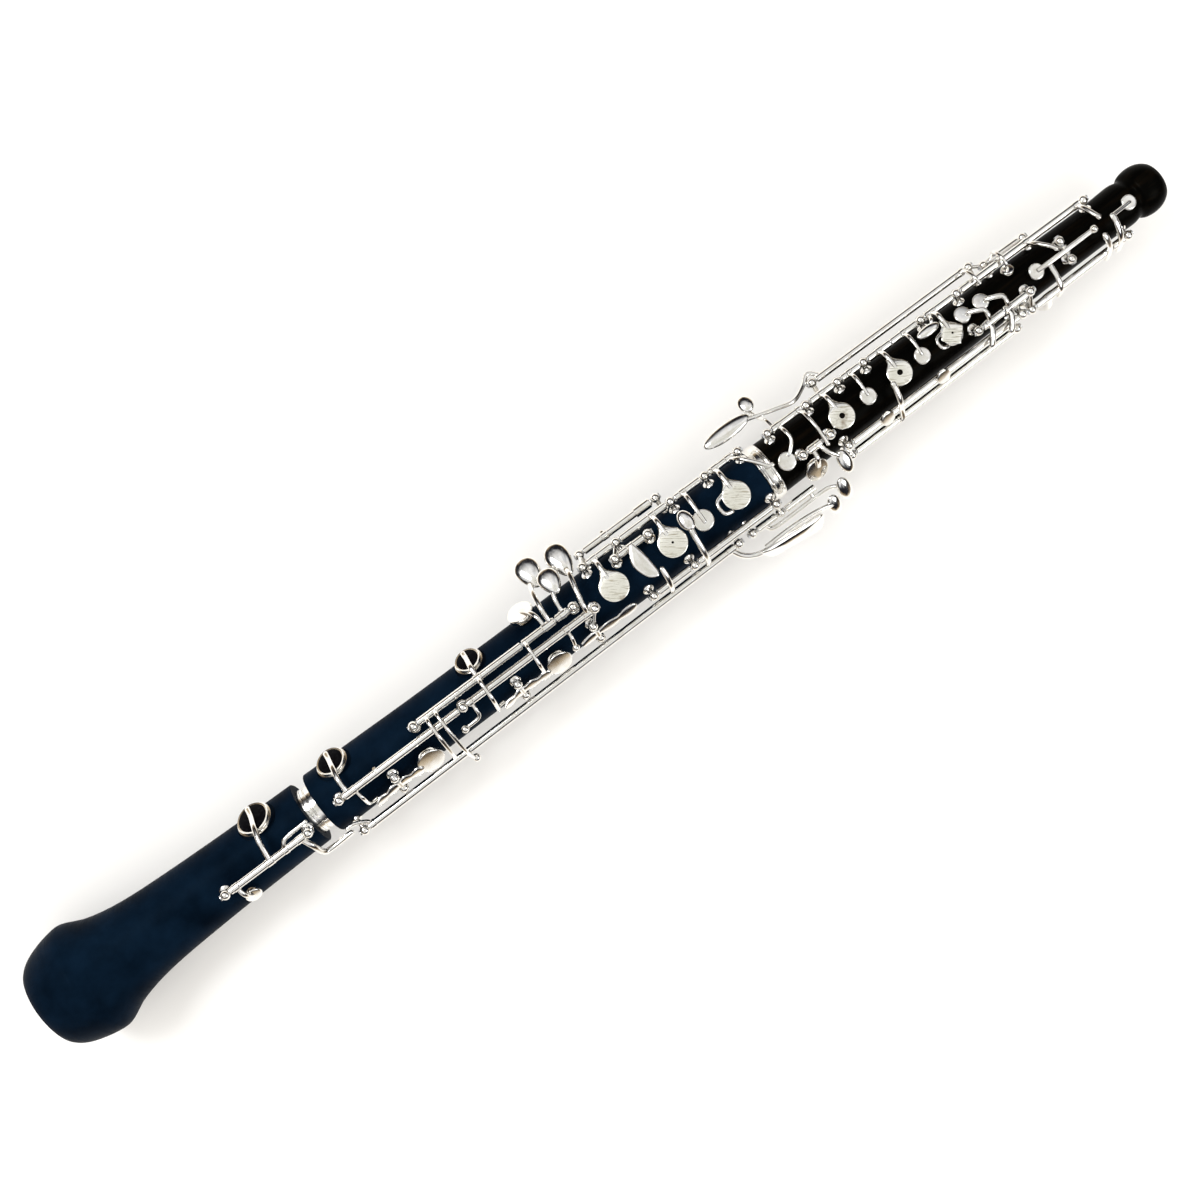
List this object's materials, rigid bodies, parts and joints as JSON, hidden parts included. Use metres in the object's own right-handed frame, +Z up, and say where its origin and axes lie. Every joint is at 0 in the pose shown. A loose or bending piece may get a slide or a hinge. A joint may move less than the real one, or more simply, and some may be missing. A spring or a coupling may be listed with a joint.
{
  "type": "oboe",
  "caption": "Oboe in three joints with full keywork: flared bell, hinged plate and vent keys on post-mounted rods, little-finger touches and a reed socket.",
  "frame": {"origin": "on the resting plane, midway along the instrument, under its centre line", "axes": "+X along the centre line from the bell towards the reed socket, +Z up out of the tone holes, +Y towards the right little-finger touches"},
  "size_m": [0.591, 0.0681, 0.0514],
  "materials": {
    "resin": "satin blue-black resin with fine turning marks",
    "blackwood": "polished black wood with a brown hint",
    "silver": "polished silver plate",
    "steel": "polished steel rods in silver-plated posts",
    "pad": "pale fish-skin key pads, slightly creased",
    "cork": "dark red-brown tenon cork"
  },
  "bodies": {
    "body": {"bell": "resin", "bell_posts": "steel", "bell_tenon_cork": "cork", "bell_tenon_sleeve": "silver", "centre_posts": "steel", "g_sharp_posts": "steel", "inner_posts": "steel", "left_high_posts": "steel", "left_low_posts": "steel", "long_posts": "steel", "low_b_rocker_posts": "steel", "low_c_rocker_posts": "steel", "lower_joint": "resin", "main_high_posts": "steel", "main_low_posts": "steel", "middle_ring": "silver", "middle_tenon_cork": "cork", "octave_posts": "steel", "octave_rocker_posts": "steel", "outer_high_posts": "steel", "reed_well_liner": "silver", "thumb_rest_hook": "silver", "thumb_rest_plate": "silver", "upper_joint": "blackwood"},
    "bell_key": {"bell_key": "silver"},
    "low_b_key": {"low_b_key": "silver"},
    "low_b_flat_key": {"low_b_flat_key": "silver"},
    "low_c_key": {"low_c_key": "silver"},
    "d_sharp_key": {"d_sharp_key": "silver"},
    "low_c_sharp_key": {"low_c_sharp_key": "silver"},
    "low_b_vent_key": {"low_b_vent_key": "silver"},
    "low_c_vent_key": {"low_c_vent_key": "silver"},
    "side_blade_key": {"side_blade_key": "silver"},
    "low_b_flat_lever": {"low_b_flat_lever": "silver"},
    "d_key": {"d_key": "silver"},
    "e_key": {"e_key": "silver"},
    "f_vent_key": {"f_vent_key": "silver"},
    "f_sharp_key": {"f_sharp_key": "silver"},
    "f_key": {"f_key": "silver"},
    "e_flat_trill_key": {"e_flat_trill_key": "silver"},
    "left_f_key": {"left_f_key": "silver"},
    "forked_f_key": {"forked_f_key": "silver"},
    "left_e_flat_lever": {"left_e_flat_lever": "silver"},
    "c_sharp_trill_key": {"c_sharp_trill_key": "silver"},
    "a_key": {"a_key": "silver"},
    "first_vent_key": {"first_vent_key": "silver"},
    "g_key": {"g_key": "silver"},
    "second_vent_key": {"second_vent_key": "silver"},
    "half_hole_key": {"half_hole_key": "silver"},
    "second_octave_lever": {"second_octave_lever": "silver"},
    "d_trill_key": {"d_trill_key": "silver"},
    "side_octave_key": {"side_octave_key": "silver"},
    "g_sharp_key": {"g_sharp_key": "silver"},
    "left_trill_lever": {"left_trill_lever": "silver"},
    "left_outer_lever": {"left_outer_lever": "silver"},
    "c_trill_key": {"c_trill_key": "silver"},
    "b_trill_key": {"b_trill_key": "silver"},
    "thumb_octave_key": {"thumb_octave_key": "silver"},
    "second_octave_key": {"second_octave_key": "silver"},
    "first_octave_key": {"first_octave_key": "silver"}
  },
  "joints": [
    {"name": "bell_key_hinge", "type": "hinge", "parent": "body", "child": "bell_key", "pos_m": [-0.2067, -0.0045, 0.04519], "axis": [-1, 0, 0], "range_deg": [0, 5.5], "stiffness_Nm_per_rad": 0.0435, "springref_deg": -6.88},
    {"name": "low_b_key_hinge", "type": "hinge", "parent": "body", "child": "low_b_key", "pos_m": [-0.1469, -0.00148, 0.04454], "axis": [-1, -0.0003, 0.0038], "range_deg": [0, 6], "stiffness_Nm_per_rad": 0.0224, "springref_deg": -6.88},
    {"name": "low_b_flat_key_hinge", "type": "hinge", "parent": "body", "child": "low_b_flat_key", "pos_m": [-0.1469, -0.00148, 0.04454], "axis": [-1, -0.0003, 0.0038], "range_deg": [0, 5], "stiffness_Nm_per_rad": 0.0252, "springref_deg": -6.88},
    {"name": "low_c_key_hinge", "type": "hinge", "parent": "body", "child": "low_c_key", "pos_m": [-0.1044, 0.00459, 0.04372], "axis": [-1, 0.0006, 0.0023], "range_deg": [0, 6.5], "stiffness_Nm_per_rad": 0.0221, "springref_deg": -6.88},
    {"name": "d_sharp_key_hinge", "type": "hinge", "parent": "body", "child": "d_sharp_key", "pos_m": [-0.1044, 0.00459, 0.04372], "axis": [-1, 0.0006, 0.0023], "range_deg": [0, 6.5], "stiffness_Nm_per_rad": 0.0325, "springref_deg": -6.88},
    {"name": "low_c_sharp_key_hinge", "type": "hinge", "parent": "body", "child": "low_c_sharp_key", "pos_m": [-0.1044, 0.00459, 0.04372], "axis": [-1, 0.0006, 0.0023], "range_deg": [0, 4], "stiffness_Nm_per_rad": 0.00477, "springref_deg": -6.88},
    {"name": "low_b_vent_key_hinge", "type": "hinge", "parent": "body", "child": "low_b_vent_key", "pos_m": [-0.1238, -0.01443, 0.03543], "axis": [0, 0.7431, 0.6691], "range_deg": [0, 4], "stiffness_Nm_per_rad": 0.0147, "springref_deg": -6.88},
    {"name": "low_c_vent_key_hinge", "type": "hinge", "parent": "body", "child": "low_c_vent_key", "pos_m": [-0.0597, -0.01393, 0.03509], "axis": [0, 0.7431, 0.6691], "range_deg": [0, 3.6], "stiffness_Nm_per_rad": 0.0189, "springref_deg": -6.88},
    {"name": "side_blade_key_hinge", "type": "hinge", "parent": "body", "child": "side_blade_key", "pos_m": [-0.0199, -0.01359, 0.03558], "axis": [0, 0.766, 0.6428], "range_deg": [0, 5], "stiffness_Nm_per_rad": 0.00201, "springref_deg": -6.88},
    {"name": "low_b_flat_lever_hinge", "type": "hinge", "parent": "body", "child": "low_b_flat_lever", "pos_m": [-0.148, -0.01917, 0.03268], "axis": [0.9999, 0.0095, 0.0036], "range_deg": [0, 4], "stiffness_Nm_per_rad": 0.0161, "springref_deg": -6.88},
    {"name": "d_key_hinge", "type": "hinge", "parent": "body", "child": "d_key", "pos_m": [-0.0085, 0.01491, 0.03614], "axis": [1, 0, 0], "range_deg": [0, 7], "stiffness_Nm_per_rad": 0.0169, "springref_deg": -6.88},
    {"name": "e_key_hinge", "type": "hinge", "parent": "body", "child": "e_key", "pos_m": [-0.0085, 0.01491, 0.03614], "axis": [1, 0, 0], "range_deg": [0, 7], "stiffness_Nm_per_rad": 0.0168, "springref_deg": -6.88},
    {"name": "f_vent_key_hinge", "type": "hinge", "parent": "body", "child": "f_vent_key", "pos_m": [-0.0085, 0.01491, 0.03614], "axis": [1, 0, 0], "range_deg": [0, 7], "stiffness_Nm_per_rad": 0.00769, "springref_deg": -6.88},
    {"name": "f_sharp_key_hinge", "type": "hinge", "parent": "body", "child": "f_sharp_key", "pos_m": [-0.0085, 0.01491, 0.03614], "axis": [1, 0, 0], "range_deg": [0, 7], "stiffness_Nm_per_rad": 0.0181, "springref_deg": -6.88},
    {"name": "f_key_hinge", "type": "hinge", "parent": "body", "child": "f_key", "pos_m": [0.0043, 0.00984, 0.04029], "axis": [1, 0, 0], "range_deg": [0, 5], "stiffness_Nm_per_rad": 0.00278, "springref_deg": -6.88},
    {"name": "e_flat_trill_key_hinge", "type": "hinge", "parent": "body", "child": "e_flat_trill_key", "pos_m": [-0.0061, 0.01956, 0.02986], "axis": [-1, 0, 0], "range_deg": [0, 5], "stiffness_Nm_per_rad": 0.0000712, "springref_deg": -6.88},
    {"name": "left_f_key_hinge", "type": "hinge", "parent": "body", "child": "left_f_key", "pos_m": [0.0085, -0.01276, 0.03868], "axis": [-1, 0, 0], "range_deg": [0, 4], "stiffness_Nm_per_rad": 0.000416, "springref_deg": -6.88},
    {"name": "forked_f_key_hinge", "type": "hinge", "parent": "body", "child": "forked_f_key", "pos_m": [0.0085, -0.01276, 0.03868], "axis": [-1, 0, 0], "range_deg": [0, 4], "stiffness_Nm_per_rad": 0.00576, "springref_deg": -6.88},
    {"name": "left_e_flat_lever_hinge", "type": "hinge", "parent": "body", "child": "left_e_flat_lever", "pos_m": [0.0591, -0.01748, 0.03206], "axis": [1, 0, 0], "range_deg": [0, 4], "stiffness_Nm_per_rad": 0.00162, "springref_deg": -7.73},
    {"name": "c_sharp_trill_key_hinge", "type": "hinge", "parent": "body", "child": "c_sharp_trill_key", "pos_m": [0.0885, 0.01342, 0.03581], "axis": [-0.9999, 0.0062, 0.0104], "range_deg": [0, 5.5], "stiffness_Nm_per_rad": 0.013, "springref_deg": -6.88},
    {"name": "a_key_hinge", "type": "hinge", "parent": "body", "child": "a_key", "pos_m": [0.0885, 0.01342, 0.03581], "axis": [0.9999, -0.0062, -0.0104], "range_deg": [0, 8], "stiffness_Nm_per_rad": 0.00907, "springref_deg": -6.88},
    {"name": "first_vent_key_hinge", "type": "hinge", "parent": "body", "child": "first_vent_key", "pos_m": [0.0885, 0.01342, 0.03581], "axis": [0.9999, -0.0062, -0.0104], "range_deg": [0, 8], "stiffness_Nm_per_rad": 0.00347, "springref_deg": -6.88},
    {"name": "g_key_hinge", "type": "hinge", "parent": "body", "child": "g_key", "pos_m": [0.0885, 0.01342, 0.03581], "axis": [0.9999, -0.0062, -0.0104], "range_deg": [0, 8], "stiffness_Nm_per_rad": 0.00848, "springref_deg": -6.88},
    {"name": "second_vent_key_hinge", "type": "hinge", "parent": "body", "child": "second_vent_key", "pos_m": [0.0885, 0.01342, 0.03581], "axis": [0.9999, -0.0062, -0.0104], "range_deg": [0, 8], "stiffness_Nm_per_rad": 0.00324, "springref_deg": -6.88},
    {"name": "half_hole_key_hinge", "type": "hinge", "parent": "body", "child": "half_hole_key", "pos_m": [0.0885, 0.01342, 0.03581], "axis": [0.9999, -0.0062, -0.0104], "range_deg": [0, 8], "stiffness_Nm_per_rad": 0.00845, "springref_deg": -6.88},
    {"name": "second_octave_lever_hinge", "type": "hinge", "parent": "body", "child": "second_octave_lever", "pos_m": [0.0885, 0.01342, 0.03581], "axis": [0.9999, -0.0062, -0.0104], "range_deg": [0, 4], "stiffness_Nm_per_rad": 0.00121, "springref_deg": -6.88},
    {"name": "d_trill_key_hinge", "type": "hinge", "parent": "body", "child": "d_trill_key", "pos_m": [0.1185, 0.01895, 0.02938], "axis": [-1, 0.0046, 0.0009], "range_deg": [0, 4], "stiffness_Nm_per_rad": 0.00177, "springref_deg": -7.1},
    {"name": "side_octave_key_hinge", "type": "hinge", "parent": "body", "child": "side_octave_key", "pos_m": [0.2095, 0.01514, 0.02947], "axis": [-0.9998, 0.0185, 0.0046], "range_deg": [0, 4], "stiffness_Nm_per_rad": 0.000962, "springref_deg": -6.88},
    {"name": "g_sharp_key_hinge", "type": "hinge", "parent": "body", "child": "g_sharp_key", "pos_m": [0.0943, -0.0026, 0.0421], "axis": [1, 0, 0], "range_deg": [0, 8], "stiffness_Nm_per_rad": 0.00733, "springref_deg": -6.88},
    {"name": "left_trill_lever_hinge", "type": "hinge", "parent": "body", "child": "left_trill_lever", "pos_m": [0.1137, -0.01153, 0.03764], "axis": [0.9999, 0.0033, -0.0116], "range_deg": [0, 4], "stiffness_Nm_per_rad": 0.00132, "springref_deg": -6.88},
    {"name": "left_outer_lever_hinge", "type": "hinge", "parent": "body", "child": "left_outer_lever", "pos_m": [0.1137, -0.01608, 0.03286], "axis": [0.9999, 0.0101, -0.0045], "range_deg": [0, 4], "stiffness_Nm_per_rad": 0.0000814, "springref_deg": -6.88},
    {"name": "c_trill_key_hinge", "type": "hinge", "parent": "body", "child": "c_trill_key", "pos_m": [0.1871, -0.00514, 0.04064], "axis": [0.9999, 0.0046, -0.0133], "range_deg": [0, 5], "stiffness_Nm_per_rad": 0.00224, "springref_deg": -6.88},
    {"name": "b_trill_key_hinge", "type": "hinge", "parent": "body", "child": "b_trill_key", "pos_m": [0.1871, -0.00514, 0.04064], "axis": [0.9999, 0.0046, -0.0133], "range_deg": [0, 5], "stiffness_Nm_per_rad": 0.00218, "springref_deg": -6.88},
    {"name": "thumb_octave_key_hinge", "type": "hinge", "parent": "body", "child": "thumb_octave_key", "pos_m": [0.2139, -0.0123, 0.03463], "axis": [0.9999, 0.012, -0.0087], "range_deg": [0, 5], "stiffness_Nm_per_rad": 0.0337, "springref_deg": -6.88},
    {"name": "second_octave_key_hinge", "type": "hinge", "parent": "body", "child": "second_octave_key", "pos_m": [0.2139, -0.0123, 0.03463], "axis": [0.9999, 0.012, -0.0087], "range_deg": [0, 5], "stiffness_Nm_per_rad": 0.00397, "springref_deg": -6.88},
    {"name": "first_octave_key_hinge", "type": "hinge", "parent": "body", "child": "first_octave_key", "pos_m": [0.2389, -0.00462, 0.03913], "axis": [0, 1, 0], "range_deg": [0, 5.5], "stiffness_Nm_per_rad": 0.00521, "springref_deg": -6.88}
  ],
  "couplings": [
    {"joint": "low_b_vent_key_hinge", "follows": "low_b_key_hinge", "ratio": 0.6667},
    {"joint": "low_c_vent_key_hinge", "follows": "low_c_key_hinge", "ratio": 0.5538},
    {"joint": "first_octave_key_hinge", "follows": "thumb_octave_key_hinge", "ratio": 1.1},
    {"joint": "bell_key_hinge", "follows": "low_b_flat_lever_hinge", "ratio": 1.375},
    {"joint": "b_trill_key_hinge", "follows": "d_trill_key_hinge", "ratio": 1.25},
    {"joint": "first_vent_key_hinge", "follows": "a_key_hinge", "ratio": 1},
    {"joint": "second_vent_key_hinge", "follows": "g_key_hinge", "ratio": 1},
    {"joint": "f_vent_key_hinge", "follows": "e_key_hinge", "ratio": 1}
  ]
}
